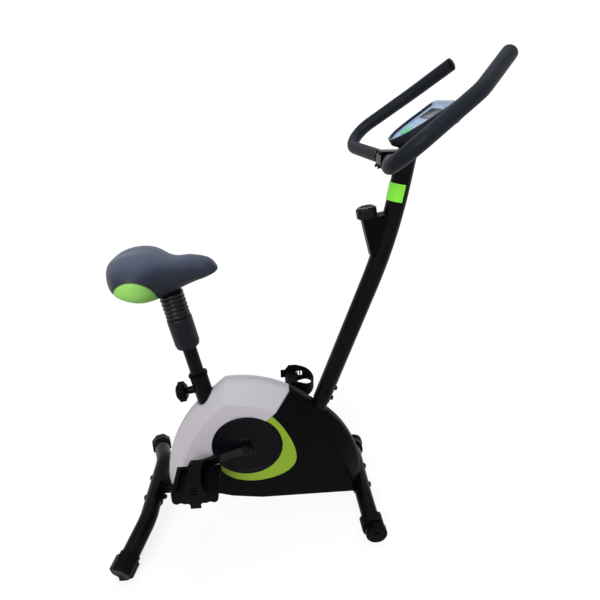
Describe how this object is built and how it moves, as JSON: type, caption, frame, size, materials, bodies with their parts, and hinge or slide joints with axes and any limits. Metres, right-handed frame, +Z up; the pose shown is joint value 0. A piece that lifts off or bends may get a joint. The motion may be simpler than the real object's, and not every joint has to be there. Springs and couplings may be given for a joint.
{
  "type": "exercise bike",
  "caption": "Upright exercise bike: bent post with foam-grip handlebar and console, sprung saddle on a height post, strapped pedals and a two-tone drive shell.",
  "frame": {"origin": "on the floor under the middle of the whole bike's box", "axes": "+X forward, the way the rider faces; +Y to the rider's left; +Z up"},
  "size_m": [0.9532, 0.5478, 1.2717],
  "materials": {
    "black_paint": "satin",
    "black_plastic": "fine texture",
    "pale_plastic": "satin",
    "lime_plastic": "satin",
    "green_band": "gloss",
    "disc_plastic": "gloss",
    "foam": "fine foam",
    "saddle_cover": "vinyl",
    "boot_rubber": "matt",
    "foot_rubber": "matt",
    "steel": "zinc plated",
    "iron": "machined",
    "aluminium": "cast",
    "belt_rubber": "matt",
    "console_silver": "satin",
    "display": "clear window",
    "mint_rubber": "matt",
    "cable_skin": "satin"
  },
  "bodies": {
    "frame": {"main_beam": "black_paint", "seat_tube": "black_paint", "head_tube": "black_paint", "bottom_bracket": "black_paint", "bearings": "steel", "rear_stabiliser": "black_paint", "front_stabiliser": "black_paint", "stabiliser_bolts": "black_paint", "rear_cap_left": "foot_rubber", "rear_cap_right": "foot_rubber", "front_cap_left": "foot_rubber", "front_cap_right": "foot_rubber", "rear_cover_left": "pale_plastic", "rear_cover_right": "pale_plastic", "front_cover_left": "black_plastic", "front_cover_right": "black_plastic", "crescent_trim_left": "lime_plastic", "crescent_trim_right": "lime_plastic", "drive_belt": "belt_rubber", "tension_cable": "cable_skin", "handlebar_post": "black_paint", "post_bolts": "black_paint", "post_band": "green_band", "tension_housing": "black_plastic", "handlebar": "black_paint", "bar_clamp": "black_paint", "grip_left": "foam", "grip_right": "foam", "bar_end_caps": "black_plastic", "console_body": "black_plastic", "console_face": "console_silver", "console_lens": "display", "seat_tube_bush": "black_plastic"},
    "crank": {"crank_axle": "steel", "crank_pulley": "black_plastic", "crank_nuts": "black_paint", "crank_arm_right": "black_paint", "crank_arm_left": "black_paint", "disc_cover_left": "disc_plastic", "disc_cover_right": "disc_plastic", "pedal_spindles": "steel"},
    "right_pedal": {"pedal_right": "black_plastic", "pedal_strap_right": "boot_rubber"},
    "left_pedal": {"pedal_left": "black_plastic", "pedal_strap_left": "boot_rubber"},
    "flywheel": {"flywheel": "iron", "flywheel_pulley": "aluminium"},
    "brake": {"brake_arm": "steel"},
    "tension": {"tension_knob": "black_plastic"},
    "seat": {"seat_post": "black_paint", "seat_sleeve": "black_plastic", "saddle_bellows": "boot_rubber", "saddle_spring": "boot_rubber"},
    "saddle": {"saddle_shaft": "steel", "saddle_pan": "black_plastic", "saddle_cushion": "saddle_cover"},
    "seat_pin": {"seat_knob": "black_plastic"},
    "button": {"console_button": "mint_rubber"},
    "left_wheel": {"transport_wheel_left": "black_plastic"},
    "right_wheel": {"transport_wheel_right": "black_plastic"}
  },
  "joints": [
    {"name": "crank_spin", "type": "hinge", "parent": "frame", "child": "crank", "pos_m": [-0.10332, 0, 0.266], "axis": [0, 1, 0], "continuous": true},
    {"name": "flywheel_spin", "type": "hinge", "parent": "frame", "child": "flywheel", "pos_m": [0.04668, 0, 0.176], "axis": [0, 1, 0], "continuous": true},
    {"name": "pedal_right_spin", "type": "hinge", "parent": "crank", "child": "right_pedal", "pos_m": [-0.25143, -0.1345, 0.23181], "axis": [0, 1, 0], "continuous": true},
    {"name": "pedal_left_spin", "type": "hinge", "parent": "crank", "child": "left_pedal", "pos_m": [0.04478, 0.1345, 0.30019], "axis": [0, 1, 0], "continuous": true},
    {"name": "seat_height", "type": "slide", "parent": "frame", "child": "seat", "axis": [-0.1736, 0, 0.9848], "range_m": [-0.06, 0.1]},
    {"name": "saddle_bounce", "type": "slide", "parent": "seat", "child": "saddle", "axis": [-0.1736, 0, 0.9848], "range_m": [-0.025, 0], "stiffness_N_per_m": 20000, "springref_m": 0.005, "deforming": ["saddle_bellows", "saddle_spring"]},
    {"name": "seat_pin_pull", "type": "slide", "parent": "frame", "child": "seat_pin", "axis": [-0.9848, 0, -0.1736], "range_m": [0, 0.012], "stiffness_N_per_m": 300, "springref_m": -0.01},
    {"name": "tension_turn", "type": "hinge", "parent": "frame", "child": "tension", "pos_m": [0.23323, 0, 0.91125], "axis": [-0.1959, 0, 0.9806], "range_deg": [0, 300]},
    {"name": "brake_move", "type": "hinge", "parent": "frame", "child": "brake", "pos_m": [0.09503, 0, 0.26694], "axis": [0, 1, 0], "range_deg": [-1.6, 0]},
    {"name": "button_press", "type": "slide", "parent": "frame", "child": "button", "axis": [0.4399, 0, -0.898], "range_m": [0, 0.0015], "stiffness_N_per_m": 600, "springref_m": -0.001},
    {"name": "wheel_left_spin", "type": "hinge", "parent": "frame", "child": "left_wheel", "pos_m": [0.25868, 0.1886, 0.0335], "axis": [0, 1, 0], "continuous": true},
    {"name": "wheel_right_spin", "type": "hinge", "parent": "frame", "child": "right_wheel", "pos_m": [0.25868, -0.1886, 0.0335], "axis": [0, 1, 0], "continuous": true}
  ],
  "couplings": [
    {"joint": "flywheel_spin", "follows": "crank_spin", "ratio": 4.4444},
    {"joint": "brake_move", "follows": "tension_turn", "ratio": -0.005}
  ]
}
